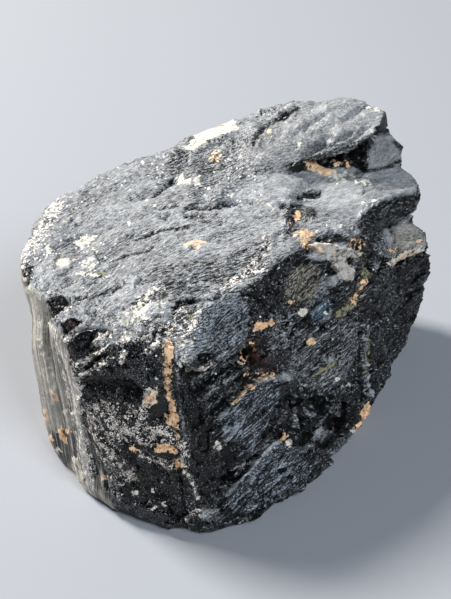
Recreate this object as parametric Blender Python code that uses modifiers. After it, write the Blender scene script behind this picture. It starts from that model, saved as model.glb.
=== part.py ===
"""A rough chunk of black tourmaline: a stub of a ribbed prism with a broken top and a broken front.

The shape is worked out in millimetres, and the last step turns it into metres. +X is to the right,
+Y is away from the viewer and +Z is up. The stone stands on its flat foot, and the origin is on the
foot's level under the middle of the stone.
"""

import math

import bmesh
import bpy
from mathutils import Matrix, Vector, noise

MM = 0.001

# Width of the finished stone in millimetres. The depth and the height follow from its shape.
STONE_WIDTH = 47.0

# The grid that the blocks are fused on, and about how many flat facets are left above the foot.
GRID = 0.5
FACETS = 9400
FACETS_CUT_AWAY = 1.24
SMALLEST_EDGE = 0.12

# The blocks reach this far below the foot's level before they are cut off flat there, and their
# outlines are full at the height of the heel.
SUNK = -1.0
HEEL = 1.4
HEEL_INSET = 0.955

# The prism's axis leans a little to the left and back. Its grown, ribbed faces look that way too,
# and the other sides are broken.
PRISM_AXIS = Vector((-0.07, 0.05, 1.0))
GROWN_SIDE = Vector((-0.94, 0.34, 0.0))
RIB_HEIGHT = 0.55
BROAD_RIBS_PER_MM = 0.42
FINE_RIBS_PER_MM = 0.95

# Fibres of the broken top run from the front left to the back right, and those of the broken front
# climb to the right and back.
TOP_FIBRES = Matrix.Rotation(math.radians(-42), 3, "Z")
FRONT_FIBRES = Vector((0.73, 0.59, 0.34)).rotation_difference(Vector((1.0, 0.0, 0.0))).to_matrix()
SPLIT_START = -3.0
SPLIT_END = 1.0

# Fields of flat facets on the broken faces: height, then length, width and depth of a facet, then
# a number that sets one field apart from the others.
TOP_FACETS = ((0.46, 12.0, 5.0, 6.0, 3.0), (0.28, 6.0, 2.4, 3.0, 8.0))
UPRIGHT_FACETS = ((0.36, 5.5, 5.5, 10.0, 5.0), (0.26, 2.6, 2.6, 4.2, 12.0))
SLANTED_FACETS = ((0.42, 11.0, 5.0, 5.0, 6.0), (0.28, 5.5, 2.4, 2.4, 14.0))
BACK_ROUGHER = 0.9

# The trunk is a stub of a prism. Smaller blocks that broke along other planes are grown onto it.
# Each block is the hull of its foot outline (x, y) and of its upper corners (x, y, z).
BLOCKS = {
    "prism_trunk": (
        [(-20.4, -10.2), (-15.2, -18.2), (-12.4, -20.2), (-8.9, -22.2), (-3.0, -24.4), (3.4, -20.8),
         (7.4, -18.3), (10.7, -14.5), (12.0, 21.0), (-6.0, 20.0), (-16.5, 11.5), (-21.0, 1.0)],
        [(-22.1, -8.3, 24.3), (-17.0, -17.8, 22.0), (-13.9, -19.7, 20.0), (-11.7, -20.0, 21.5),
         (-8.7, -20.0, 22.5), (-6.1, -19.6, 23.3), (-1.1, -17.6, 24.0), (1.5, -14.9, 25.0),
         (4.7, -10.6, 25.5), (8.1, -5.5, 25.6), (9.0, 8.0, 25.8), (9.0, 18.0, 26.0), (3.0, 18.4, 27.4),
         (-4.8, 13.4, 26.6), (-11.3, 12.1, 26.0), (-15.8, 8.7, 25.5), (-20.6, 3.4, 24.8),
         (-5.4, -21.6, 20.1), (-3.6, -21.2, 20.2), (-0.4, -19.6, 20.1), (3.1, -16.0, 19.2)],
    ),
    "front_wedge": (
        [(-3.0, -24.6), (3.4, -21.2), (7.4, -18.8), (10.7, -15.6), (8.0, -6.0), (-6.0, -16.0)],
        [(2.0, -18.4, 15.6), (5.3, -16.2, 15.4), (-1.6, -22.3, 12.2), (3.6, -19.4, 7.7),
         (7.1, -16.4, 6.8), (-0.1, -22.8, 4.0), (9.0, -12.0, 12.0), (-4.0, -16.0, 14.0)],
    ),
    "right_trunk": (
        [(10.7, -15.2), (13.9, -9.9), (17.1, -4.9), (20.4, 3.0), (22.9, 8.8), (21.6, 16.0),
         (14.0, 21.0), (2.0, 18.0), (2.0, -12.0)],
        [(8.1, -5.5, 25.6), (13.0, -4.7, 25.3), (15.3, 1.3, 24.8), (19.0, 5.0, 23.0), (19.6, 12.0, 23.0),
         (14.0, 17.0, 25.0), (2.0, 16.0, 25.0), (2.0, -4.0, 25.6), (15.4, -4.2, 20.0),
         (15.9, -4.5, 13.0), (16.9, -4.6, 2.0), (19.0, 0.5, 18.0), (8.0, -11.5, 14.0)],
    ),
    "raised_slab": (
        [],
        [(1.5, 7.2, 25.8), (8.7, 8.7, 26.6), (12.2, 9.4, 27.4), (15.8, 9.8, 29.2), (17.2, 10.4, 30.4),
         (18.7, 11.7, 31.2), (19.0, 13.3, 32.0), (17.0, 15.1, 32.6), (14.1, 15.4, 32.6),
         (11.8, 16.1, 32.0), (8.9, 17.0, 31.3), (6.6, 18.2, 30.8), (3.0, 18.6, 29.0),
         (-1.9, 15.7, 27.2), (-1.0, 11.0, 24.0), (4.0, 19.5, 20.0), (14.0, 19.0, 20.0),
         (18.5, 15.0, 20.0)],
    ),
    "terrace": (
        [],
        [(8.5, 0.5, 25.6), (15.3, 1.3, 25.0), (19.0, 5.0, 24.5), (22.3, 7.4, 22.6), (23.0, 8.8, 23.6),
         (20.8, 12.2, 25.0), (17.8, 12.6, 25.4), (17.5, 3.0, 22.0), (12.0, 0.0, 22.0),
         (20.0, 14.0, 20.0), (10.0, 14.0, 22.0)],
    ),
    "right_lobe": (
        [(23.7, 13.1), (22.9, 8.8), (20.4, 3.0), (16.0, 4.0), (16.0, 16.0), (20.0, 17.5)],
        [(22.2, 12.9, 17.4), (24.1, 11.8, 16.2), (24.9, 9.7, 15.0), (25.0, 9.2, 13.0), (25.0, 9.8, 9.0),
         (24.2, 11.6, 5.0), (19.7, 5.5, 15.0), (18.4, 4.5, 14.5), (18.0, 16.0, 17.0), (14.0, 8.0, 18.0),
         (17.0, 5.0, 18.5)],
    ),
}

# Wedges that are missing from the chunk, each the hull of its corners.
HOLLOWS = {
    "crevice": [(-6.2, -24.0, 21.8), (-4.0, -24.0, 21.8), (-5.1, -19.6, 22.6), (-5.2, -25.5, 10.0),
                (-3.4, -25.5, 10.0), (-4.4, -21.8, 10.0), (-2.4, -25.5, 2.4), (-3.2, -23.6, 2.4)],
    "under_ledge": [(-4.2, -23.0, 20.6), (-0.2, -21.6, 20.4), (4.0, -17.8, 19.7), (-3.2, -19.6, 19.8),
                    (2.6, -15.0, 18.6), (-2.8, -23.9, 13.2), (1.6, -20.6, 15.0), (4.4, -17.0, 14.6)],
    "slot": [(8.0, -7.0, 27.2), (13.8, -5.8, 27.2), (13.6, -2.8, 27.2), (8.4, -3.6, 27.2),
             (9.0, -5.8, 22.8), (12.8, -4.6, 22.6), (15.0, -3.8, 24.8)],
    "front_split": [(8.4, -17.8, 10.2), (7.6, -18.2, 6.8), (0.0, -24.6, 5.9), (0.8, -24.6, 3.7),
                    (4.3, -14.0, 7.9), (-1.0, -20.4, 4.8)],
    "scoop": [(7.5, -17.7, 12.8), (12.3, -12.4, 9.8), (15.2, -9.3, 6.6), (15.4, -10.2, 3.4),
              (10.6, -16.6, 4.6), (8.6, -18.0, 5.4), (6.8, -13.5, 10.1), (7.5, -13.9, 5.8),
              (11.5, -8.3, 3.6)],
    "lobe_gap": [(16.2, 1.0, 22.2), (19.4, 3.4, 22.4), (24.0, 8.0, 21.6), (25.5, 11.0, 19.6),
                 (17.2, 5.4, 20.4), (20.8, 9.6, 20.0), (24.0, 14.0, 19.0), (18.0, 2.0, 17.4),
                 (23.6, 8.6, 17.6)],
    "slab_undercut": [(5.0, 6.2, 26.4), (12.4, 7.6, 26.8), (16.6, 8.6, 28.6), (13.0, 12.0, 27.0),
                      (17.0, 12.4, 28.4), (12.0, 8.0, 25.6), (17.8, 9.6, 25.8), (9.0, 9.6, 26.2)],
    "crown_notch": [(-16.6, -19.8, 22.9), (-12.2, -21.8, 22.3), (-14.6, -17.2, 23.6),
                    (-11.2, -19.0, 23.1), (-14.4, -20.0, 17.0)],
    "back_chip": [(-3.0, 22.0, 23.0), (10.0, 24.0, 22.0), (12.0, 24.0, 9.0), (1.0, 24.0, 6.0),
                  (3.5, 16.6, 15.0), (8.0, 18.2, 18.0)],
    "back_corner_chip": [(15.0, 22.0, 18.0), (24.0, 18.0, 16.0), (22.0, 22.0, 2.0), (17.0, 24.0, 3.0),
                         (17.4, 16.4, 10.0)],
}


def helper(name, mesh, collection):
    """An object that only shapes the stone and is no part of it."""
    obj = bpy.data.objects.new(name, mesh)
    collection.objects.link(obj)
    obj.display_type = "WIRE"
    obj.hide_render = True
    return obj


def hull(name, corners, collection):
    """The convex solid round a list of corners, with flat faces like a cleaved block."""
    bm = bmesh.new()
    for corner in corners:
        bm.verts.new(corner)
    bmesh.ops.convex_hull(bm, input=bm.verts)
    buried = [v for v in bm.verts if not v.link_faces]
    bmesh.ops.delete(bm, geom=buried, context="VERTS")
    bmesh.ops.recalc_face_normals(bm, faces=bm.faces)
    mesh = bpy.data.meshes.new(name)
    bm.to_mesh(mesh)
    bm.free()
    return helper(name, mesh, collection)


def block_corners(foot, upper):
    """A block's corners: its foot outline drawn in a little at the bottom, and its upper corners."""
    corners = list(upper)
    for x, y in foot:
        corners.append((x, y, HEEL))
        corners.append((x * HEEL_INSET, y * HEEL_INSET, SUNK))
    return corners


def fused_chunk(collection):
    """All the blocks joined and all the hollows cut, on one even grid."""
    first, *others = BLOCKS
    chunk = hull(first, block_corners(*BLOCKS[first]), collection)
    for name in others:
        grow = chunk.modifiers.new(name, "BOOLEAN")
        grow.operation = "UNION"
        grow.object = hull(name, block_corners(*BLOCKS[name]), collection)
    for name, corners in HOLLOWS.items():
        cut = chunk.modifiers.new(name, "BOOLEAN")
        cut.operation = "DIFFERENCE"
        cut.object = hull(name, corners, collection)
    add_grid(chunk)
    return chunk


def add_grid(obj):
    """Rebuilds an object's surface on one even grid."""
    grid = obj.modifiers.new("grid", "REMESH")
    grid.mode = "VOXEL"
    grid.voxel_size = GRID


def evaluated_mesh(obj):
    """The mesh of an object with its modifiers applied."""
    graph = bpy.context.evaluated_depsgraph_get()
    return bpy.data.meshes.new_from_object(obj.evaluated_get(graph))


def apply_modifiers(obj):
    """Makes an object's finished surface its own mesh."""
    mesh = evaluated_mesh(obj)
    obj.modifiers.clear()
    obj.data = mesh


def fade(value, start, end):
    """0 below start, 1 above end, and smooth between them."""
    share = min(max((value - start) / (end - start), 0.0), 1.0)
    return share * share * (3.0 - 2.0 * share)


def facets(point, fields):
    """Height of fields of flat facets, each facet tilted its own way, as on a broken face."""
    total = 0.0
    for height, length, width, depth, field in fields:
        place = Vector((point.x / length, point.y / width, point.z / depth))
        place += Vector((field, 2.3 * field, 5.1 * field))
        centre = noise.voronoi(place)[1][0]
        tilt = noise.cell_vector(centre * 7.31)
        step = 0.6 * noise.cell(centre * 3.17)
        total += height * ((place - centre).dot(tilt) + step)
    return total


def ribs(point):
    """Height of the upright ribs on a grown prism face, the same all along the prism's axis."""
    across = point - PRISM_AXIS * point.z
    broad = noise.noise(across * BROAD_RIBS_PER_MM)
    fine = abs(noise.noise(across * FINE_RIBS_PER_MM + Vector((4.0, 9.0, 2.0))))
    return RIB_HEIGHT * (broad - 1.3 * fine)


def relief(point, normal):
    """How far the real surface stands out from the plain blocks at a point."""
    top = fade(normal.z, 0.35, 0.75)
    grown = (1.0 - top) * fade(normal.dot(GROWN_SIDE), 0.15, 0.45)
    broken = max(1.0 - top - grown, 0.0)
    slanted = fade(point.x, SPLIT_START, SPLIT_END)
    lumps = (1.0 - slanted) * facets(point, UPRIGHT_FACETS)
    lumps += slanted * facets(FRONT_FIBRES @ point, SLANTED_FACETS)
    lumps *= 1.0 + BACK_ROUGHER * fade(normal.y, 0.1, 0.6)
    return top * facets(TOP_FIBRES @ point, TOP_FACETS) + grown * ribs(point) + broken * lumps


def roughen(mesh):
    """Gives the fused blocks their facets, terraces and ribs."""
    bm = bmesh.new()
    bm.from_mesh(mesh)
    bm.normal_update()
    moves = [v.normal * relief(v.co, v.normal) for v in bm.verts]
    for v, move in zip(bm.verts, moves):
        v.co += move
    bm.to_mesh(mesh)
    bm.free()


def reduce_to_facets(stone):
    """Evens the surface again and leaves only the flat facets that its shape needs."""
    add_grid(stone)
    apply_modifiers(stone)
    reduce = stone.modifiers.new("facets", "DECIMATE")
    reduce.ratio = FACETS * FACETS_CUT_AWAY / (2.0 * len(stone.data.polygons))
    apply_modifiers(stone)


def cut_foot(mesh):
    """Cuts the stone off flat at the level of its foot."""
    bm = bmesh.new()
    bm.from_mesh(mesh)
    everything = bm.verts[:] + bm.edges[:] + bm.faces[:]
    cut = bmesh.ops.bisect_plane(bm, geom=everything, plane_co=(0, 0, 0), plane_no=(0, 0, 1), clear_inner=True)
    rim = [item for item in cut["geom_cut"] if isinstance(item, bmesh.types.BMVert)]
    bmesh.ops.remove_doubles(bm, verts=rim, dist=SMALLEST_EDGE)
    loose = [v for v in bm.verts if not v.link_faces]
    bmesh.ops.delete(bm, geom=loose, context="VERTS")
    open_edges = [e for e in bm.edges if e.is_boundary]
    bmesh.ops.holes_fill(bm, edges=open_edges, sides=0)
    bmesh.ops.triangulate(bm, faces=bm.faces)
    bmesh.ops.recalc_face_normals(bm, faces=bm.faces)
    bm.to_mesh(mesh)
    bm.free()


def to_real_size(stone, helpers):
    """Puts the origin under the middle of the stone and turns millimetres into metres."""
    low = [min(v.co[axis] for v in stone.data.vertices) for axis in range(3)]
    high = [max(v.co[axis] for v in stone.data.vertices) for axis in range(3)]
    middle = Vector(((low[0] + high[0]) / 2.0, (low[1] + high[1]) / 2.0, 0.0))
    size = MM * STONE_WIDTH / (high[0] - low[0])
    place = Matrix.Scale(size, 4) @ Matrix.Translation(-middle)
    stone.data.transform(place)
    for obj in helpers.objects:
        obj.matrix_world = place


def tourmaline_material():
    """Black, glassy stone."""
    material = bpy.data.materials.new("black_tourmaline")
    material.use_nodes = True
    shader = material.node_tree.nodes["Principled BSDF"]
    shader.inputs["Base Color"].default_value = (0.022, 0.023, 0.026, 1.0)
    shader.inputs["Roughness"].default_value = 0.38
    shader.inputs["Metallic"].default_value = 0.0
    return material


def main():
    for obj in list(bpy.data.objects):
        bpy.data.objects.remove(obj)
    helpers = bpy.data.collections.new("blocks_and_hollows")
    finished = bpy.data.collections.new("rough_tourmaline")
    for collection in (helpers, finished):
        bpy.context.scene.collection.children.link(collection)
    mesh = evaluated_mesh(fused_chunk(helpers))
    mesh.name = "tourmaline"
    roughen(mesh)
    stone = bpy.data.objects.new("tourmaline", mesh)
    finished.objects.link(stone)
    reduce_to_facets(stone)
    cut_foot(stone.data)
    to_real_size(stone, helpers)
    stone.data.materials.append(tourmaline_material())


main()
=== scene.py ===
"""Rough black tourmaline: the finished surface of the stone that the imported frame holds.

Lengths are millimetres until the stone's mesh goes back to metres. Lines and outlines are drawn in the
photograph's 451 by 599 frame, seen through the camera below. Each is a row of corners, and a corner is
its x,y in pixels.
"""
import math

import bmesh
import bpy
import numpy as np
from mathutils import Matrix, Vector, noise
from mathutils.bvhtree import BVHTree


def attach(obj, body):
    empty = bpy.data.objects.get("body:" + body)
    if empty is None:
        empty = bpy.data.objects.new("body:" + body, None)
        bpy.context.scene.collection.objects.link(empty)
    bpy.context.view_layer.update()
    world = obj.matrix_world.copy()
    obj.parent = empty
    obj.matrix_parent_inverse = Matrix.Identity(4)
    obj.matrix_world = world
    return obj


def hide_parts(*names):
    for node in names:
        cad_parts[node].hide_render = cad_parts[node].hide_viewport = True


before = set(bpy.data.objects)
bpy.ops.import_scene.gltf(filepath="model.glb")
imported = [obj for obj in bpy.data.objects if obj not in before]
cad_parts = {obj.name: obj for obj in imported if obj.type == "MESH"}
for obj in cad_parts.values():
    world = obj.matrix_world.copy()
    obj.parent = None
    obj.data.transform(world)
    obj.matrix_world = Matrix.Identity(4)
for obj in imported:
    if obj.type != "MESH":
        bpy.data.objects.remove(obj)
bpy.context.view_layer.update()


# Camera
# It stands where the photograph was taken from: in front of the stone and looking down on it, close
# enough that the upright ribs lean together towards the foot.
PHOTO_WIDTH = 451
PHOTO_HEIGHT = 599
MM = 0.001
SENSOR = 36.0
FOCAL_PIXELS = 1400.0
LOOKS_DOWN = math.radians(35.0)
CAMERA_DISTANCE = 163.2
AIM = Vector((-1.65, 1.66, 14.0))

forward = Vector((0.0, math.cos(LOOKS_DOWN), -math.sin(LOOKS_DOWN)))
upward = Vector((0.0, math.sin(LOOKS_DOWN), math.cos(LOOKS_DOWN)))
eye = AIM - CAMERA_DISTANCE * forward
camera_data = bpy.data.cameras.new("camera")
camera_data.sensor_width = SENSOR
camera_data.lens = FOCAL_PIXELS * SENSOR / PHOTO_HEIGHT
camera_data.clip_start = 0.01
camera = bpy.data.objects.new("camera", camera_data)
camera.location = MM * eye
camera.rotation_euler = (math.radians(90.0) - LOOKS_DOWN, 0.0, 0.0)
bpy.context.scene.collection.objects.link(camera)
bpy.context.scene.camera = camera


# The stone's body
# One solid chunk of black tourmaline, a stub of a prism that grew upright and was then broken off. Its
# body is the frame's solid, rebuilt on a fine even grid that can carry ribs, splinters and ledges.
GRID = 0.2
EVENING_ROUNDS = 10
PLACES_PER_STRETCH = 9
GROUNDED_BELOW = 6.0

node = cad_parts["tourmaline"]
bm = bmesh.new()
bm.from_mesh(node.data)
bmesh.ops.remove_doubles(bm, verts=bm.verts, dist=1e-7)
bmesh.ops.transform(bm, matrix=Matrix.Scale(1.0 / MM, 4), verts=bm.verts)
body_mesh = bpy.data.meshes.new("rough_tourmaline")
bm.to_mesh(body_mesh)
bm.free()
stone = bpy.data.objects.new("rough_tourmaline", body_mesh)
bpy.context.scene.collection.objects.link(stone)
grid = stone.modifiers.new("grid", "REMESH")
grid.mode = "VOXEL"
grid.voxel_size = GRID
even = stone.modifiers.new("even", "SMOOTH")
even.factor = 0.5
even.iterations = EVENING_ROUNDS
body_mesh = bpy.data.meshes.new_from_object(stone.evaluated_get(bpy.context.evaluated_depsgraph_get()))
stone.modifiers.clear()
stone.data = body_mesh
body_mesh.name = "rough_tourmaline"

count = len(body_mesh.vertices)
body = np.zeros(count * 3)
body_mesh.vertices.foreach_get("co", body)
body = body.reshape(-1, 3)


def fade(values, start, end):
    """0 below start, 1 above end, and smooth between them."""
    share = np.clip((values - start) / (end - start), 0.0, 1.0)
    return share * share * (3.0 - 2.0 * share)


def photo_places(points):
    """The photograph's pixel that each point falls on."""
    offset = points - np.array(eye)
    depth = offset @ np.array(forward)
    across = FOCAL_PIXELS * offset[:, 0] / depth
    up = FOCAL_PIXELS * (offset @ np.array(upward)) / depth
    return np.stack((PHOTO_WIDTH / 2.0 + across, PHOTO_HEIGHT / 2.0 - up), axis=1)


def drawn(line):
    """The corners of a line that is written as x,y pairs, or made from such corners."""
    if isinstance(line, str):
        line = [corner.split(",") for corner in line.split()]
    return np.array(line, float)


def line_gap(line):
    """How many pixels each point, seen or hidden, is from a line drawn on the photograph."""
    stretches = zip(drawn(line)[:-1], drawn(line)[1:])
    places = np.concatenate([np.linspace(start, end, PLACES_PER_STRETCH) for start, end in stretches])
    return np.min([np.linalg.norm(photo_places(body) - place, axis=1) for place in places], axis=0)


def pull(line, reach, right, down, nearer=0.0):
    """Draws the stone's outline out or in: all within reach pixels of a line moves that many pixels."""
    step = (1.0 - fade(line_gap(line), 0.0, reach)) * CAMERA_DISTANCE / FOCAL_PIXELS
    body[:, 0] += right * step
    body[:, 1] -= nearer * step
    body[:, 2] -= down * step * fade(body[:, 2], 0.0, GROUNDED_BELOW)


# Each row: a line at the outline, the reach in pixels, and the pixels to the right, down and nearer.
OUTLINE_PULLS = (
    ("380,149 383,155", 24, 19, 0),
    ("414,180 414,190", 22, 5, 0),
    ("401,149 401,157", 14, 3, 0),
    ("398,208 401,212", 18, 9, 2),
    ("404,197 407,206", 20, 6, 0),
    ("193,145 212,135 228,127", 18, 0, -5),
    ("320,96 340,94 358,96", 40, 0, 5),
    ("24,266 24,278", 26, -3, 0),
    ("35,238 41,225", 17, -6, 0),
    ("108,500 135,510 165,522", 26, 0, 0, 8),
    ("215,522 235,516 255,507", 24, 0, 0, 9),
    ("40,350 46,390 52,425 60,450 74,472 86,490", 36, -5, 0),
)
for row in OUTLINE_PULLS:
    pull(*row)
body[:, 2] = np.maximum(body[:, 2], 0.0)
body_mesh.vertices.foreach_set("co", body.ravel())
body_mesh.update()
facing = np.zeros(count * 3)
body_mesh.vertex_normals.foreach_get("vector", facing)
facing = facing.reshape(-1, 3)


# Grain
# The crystal splits along its own directions: fine fibres across the broken top, upright ribs on the
# grown faces, and a slanting grain on the broken front. Each point gets its place along and across it.
PRISM_AXIS = Vector((-0.07, 0.05, 1.0))
GROWN_SIDE = np.array((-0.94, 0.34, 0.0))
PRISM_RADIUS = 22.0
SLANT = Vector((0.73, 0.59, 0.34)).rotation_difference(Vector((1.0, 0.0, 0.0))).to_matrix()
TOP_SLOPE_LEFT = 1.25
TOP_SLOPE_RIGHT = 0.55
BEND_FROM = -22.0
BEND_TO = -6.0
SLANT_BEGINS = (-5.6, -2.0)
SKIN_AND_SHEEN_BEGINS = (10.0, -6.0)
FACES_UP = (0.42, 0.72)
FACES_OUT = (0.12, 0.42)
FACES_DOWN = (0.5, 0.85)

top = fade(facing[:, 2], *FACES_UP)
grown = (1.0 - top) * fade(facing @ GROWN_SIDE, *FACES_OUT)
broken = np.clip(1.0 - top - grown, 0.0, 1.0)
under = fade(-facing[:, 2], *FACES_DOWN)
slanted = fade(body[:, 0], *SLANT_BEGINS) * (1.0 - under)

bend_length = BEND_TO - BEND_FROM
past = body[:, 0] - BEND_FROM
bend = np.clip(past / bend_length, 0.0, 1.0)
turned = np.where(bend < 1.0, 0.5 * bend * bend * bend_length, past - 0.5 * bend_length)
drift = TOP_SLOPE_LEFT * past - (TOP_SLOPE_LEFT - TOP_SLOPE_RIGHT) * turned
top_grain = np.stack((1.2 * body[:, 0] + 0.2 * body[:, 1], 0.84 * (body[:, 1] - drift), body[:, 2]), axis=1)
off_axis = body - body[:, 2:3] * np.array(PRISM_AXIS)
lump_places = np.stack((body[:, 2], off_axis[:, 0], off_axis[:, 1]), axis=1)
round_place = PRISM_RADIUS * np.arctan2(-off_axis[:, 0], off_axis[:, 1])
upright_grain = np.stack((body[:, 2], round_place, np.zeros(count)), axis=1)
slant_grain = body @ np.array(SLANT).T

# How grey each point is, and how much of every colour or surface mark it has, from 0 to 1.
# Grown faces are lighter towards the front: a thin brownish skin, and a painted sheen where light glances
# off them.
skin_and_sheen = fade(body[:, 1], *SKIN_AND_SHEEN_BEGINS)
tone = 0.03 + 0.01 * slanted + 0.20 * top + (0.06 + 0.20 * skin_and_sheen) * grown
# The blue mark is a painted reflection of the sky on the front facets.
COLOURS = ("clay", "cream", "crust", "film", "blue", "khaki", "olive", "rust")
# The sparkle mark sprinkles painted glints.
SURFACES = ("gloss", "calm", "sparkle", "shattered")
marks = {name: np.zeros(count) for name in COLOURS + SURFACES}
marks["gloss"] = 0.4 * grown * (1.0 - skin_and_sheen)


# Broken top
# The stub's upper end is one rough break across the prism, a mat of fine splinters with a few long
# cracks. Pale quartz grains and cream crusts lie in it near the left rim and along the back edge.
SEED = 7
SEEN_WITHIN = 0.7
HIDDEN_BEYOND = 2.0
WANDER = ((0.9, 1.6), (0.4, 1.3))
LINE_SPREAD = 1.3
CRACK_ENDS = (-1.0, 3.0)
LEDGE_ENDS = (-1.0, 4.0)
# Cracks are painted darker for shade and dirt, ground below a ledge darker for the shade under its lip, and
# lips and ridges lighter for frost with a painted highlight.
CRACK_DARKENS = 0.85
FALL_DARKENS = 0.6
LIP_FROST_AND_HIGHLIGHT = 0.16
FACET_CORE = 0.8


def seen_share(points):
    """1 for points that the photograph shows, 0 for those well behind what it shows."""
    tree = BVHTree.FromPolygons(points.tolist(), [tuple(face.vertices) for face in body_mesh.polygons])
    depths = []
    for point in points.tolist():
        way = Vector(point) - eye
        hit = tree.ray_cast(eye, way.normalized())[3]
        depths.append(0.0 if hit is None else way.length - hit)
    return 1.0 - fade(np.array(depths), SEEN_WITHIN, HIDDEN_BEYOND)


# Where each point falls on the photograph, moved a little at random so that drawn lines come out
# ragged. The seed makes them come out the same in every run.
noise.seed_set(SEED)
pixels = photo_places(body)
for size, far in WANDER:
    pixels += far * np.array([noise.noise_vector(Vector(spot) / size)[:2] for spot in body.tolist()])
seen = seen_share(body)
shape = body.copy()
rise = np.zeros(count)
relief_share = np.ones(count)


def near_line(line, reach):
    """The seen points within reach pixels of a line drawn on the photograph: which they are, how far off,
    on which side (1 on the right hand of someone who walks along it) and how far from its nearer end."""
    corners = drawn(line)
    low = corners.min(axis=0) - reach
    high = corners.max(axis=0) + reach
    near = np.flatnonzero((seen > 0.0) & ((pixels > low) & (pixels < high)).all(axis=1))
    places = pixels[near]
    lengths = np.linalg.norm(np.diff(corners, axis=0), axis=1)
    gap = np.full(len(near), np.inf)
    side = np.ones(len(near))
    along = np.zeros(len(near))
    start = 0.0
    for corner, following, length in zip(corners[:-1], corners[1:], lengths):
        way = (following - corner) / length
        offset = places - corner
        share = np.clip(offset @ way, 0.0, length)
        distance = np.linalg.norm(offset - share[:, None] * way, axis=1)
        closer = distance < gap
        gap = np.where(closer, distance, gap)
        side = np.where(closer, np.sign(way[0] * offset[:, 1] - way[1] * offset[:, 0]), side)
        along = np.where(closer, start + share, along)
        start += length
    return near, gap, side, np.minimum(along, start - along)


def inside(outline, soft):
    """The seen points in or close round an outline drawn on the photograph: which they are, and 1 where
    they are inside it and 0 outside, over a soft edge."""
    closed = drawn(outline)
    closed = np.vstack((closed, closed[:1]))
    near, gap = near_line(closed, soft)[:2]
    x, y = pixels[near].T
    odd = np.zeros(len(near), bool)
    for (x1, y1), (x2, y2) in zip(closed[:-1], closed[1:]):
        if y1 != y2:
            odd ^= ((y1 > y) != (y2 > y)) & (x < x1 + (y - y1) * (x2 - x1) / (y2 - y1))
    return near, fade(np.where(odd, gap, -gap), -0.5 * soft, 0.5 * soft) * seen[near]


def crack(line, depth, width):
    """A groove depth millimetres deep and about 2 widths across, in pixels, painted darker for shade and
    dirt in it. A negative depth makes a frosted ridge, painted lighter as a highlight."""
    reach = width + LINE_SPREAD
    near, gap, _, end = near_line(line, reach)
    share = (1.0 - fade(gap, 0.0, reach)) * fade(end, *CRACK_ENDS) * seen[near]
    rise[near] -= depth * share
    if depth > 0.0:
        tone[near] *= 1.0 - CRACK_DARKENS * share
    else:
        tone[near] += LIP_FROST_AND_HIGHLIGHT * share


def ledge(line, drop, reach, sharp=1.8):
    """Ground that falls away by drop millimetres on the line's right hand, and comes back over reach
    pixels. The fallen ground is painted darker as the shade under the lip, and the lip lighter as a
    frosted, painted highlight."""
    near, gap, side, end = near_line(line, reach)
    share = fade(end, *LEDGE_ENDS) * seen[near]
    fall = fade(side * gap, -0.4 * sharp, 0.6 * sharp) * (1.0 - fade(gap, 0.2 * reach, reach)) * share
    rise[near] -= drop * fall
    tone[near] *= 1.0 - FALL_DARKENS * fall
    tone[near] += LIP_FROST_AND_HIGHLIGHT * share * fade(side * gap, -4.0, -0.5) * (1.0 - fade(side * gap, -0.5, 1.5))


def facet(outline, sink=0.0, tilt=(0.0, 0.0, 0.0), keep=0.3, soft=2.0):
    """A flat cleaved face inside an outline. It lies sink millimetres deep, leans towards tilt and keeps
    a share of its own relief."""
    near, share = inside(outline, soft)
    core = near[share > FACET_CORE]
    centre = shape[core].mean(axis=0)
    normal = facing[core].mean(axis=0)
    normal /= np.linalg.norm(normal)
    normal += np.array(tilt)
    normal /= np.linalg.norm(normal)
    offset = (shape[near] - centre) @ normal + sink
    shape[near] -= (share * offset)[:, None] * normal
    relief_share[near] *= 1.0 - (1.0 - keep) * share


def shade(outline, value, soft=4.0):
    """Gives the rock inside an outline a set greyness. Some calls set its own tone, and others paint shade
    and light into it.
    """
    near, share = inside(outline, soft)
    tone[near] += share * (value - tone[near])


def patch(mark, outline, strength=1.0, soft=3.0):
    """A coloured patch inside an outline."""
    near, share = inside(outline, soft)
    marks[mark][near] = np.maximum(marks[mark][near], strength * share)


def streak(mark, line, width, strength=1.0):
    """A coloured streak along a line, width pixels wide."""
    near, gap = near_line(line, width)[:2]
    share = strength * (1.0 - fade(gap, 0.2 * width, 0.8 * width)) * seen[near]
    marks[mark][near] = np.maximum(marks[mark][near], share)


def spots(mark, places, width, strength=1.0):
    """Small coloured spots."""
    for x, y in drawn(places):
        streak(mark, [(x - 0.5, y), (x + 0.5, y)], width, strength)


TOP_CRACKS = (
    ("183,212 191,208 204,209.5 218,206 229,203 241,201 258,202 268,204.5", 0.5, 2.2),
    ("217,207 225,202 229,203.5 238,202", 0.6, 4.5),
    ("185,216.5 197,216 208,214.5", 0.35, 1.8),
    ("158,209 167,208 181,205", 0.3, 1.6),
    ("159,218 166,217.5 171,213", 0.4, 2.2),
    ("152,200 160,192 168,184", 0.3, 1.8),
    ("133,241 146,236 160,231 178,227 190,226", 0.13, 0.8),
    ("112,262 126,256 142,252 156,246", 0.1, 0.7),
    ("74,300 92,296 110,291 127,283", 0.2, 1.8),
    ("231,255.5 238,254 248,249.5", 0.35, 2.2),
    ("198,273 210,270 222,264", 0.2, 1.8),
)
for row in TOP_CRACKS:
    crack(*row)
DULL_FACET = "168,171 167.5,163 170,155 176,151 185,150 190,155 190,162 186,168 176,175"
facet(DULL_FACET, 0.1, (0.12, -0.15, 0.0), 0.15)
shade(DULL_FACET, 0.12)
TOP_NICK = "167,184.5 171,181 175,177"
crack(TOP_NICK, 0.8, 4.0)
RIM_NICK = "187,279 184,286 180,292 178,296"
crack(RIM_NICK, 0.5, 3.0)
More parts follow.
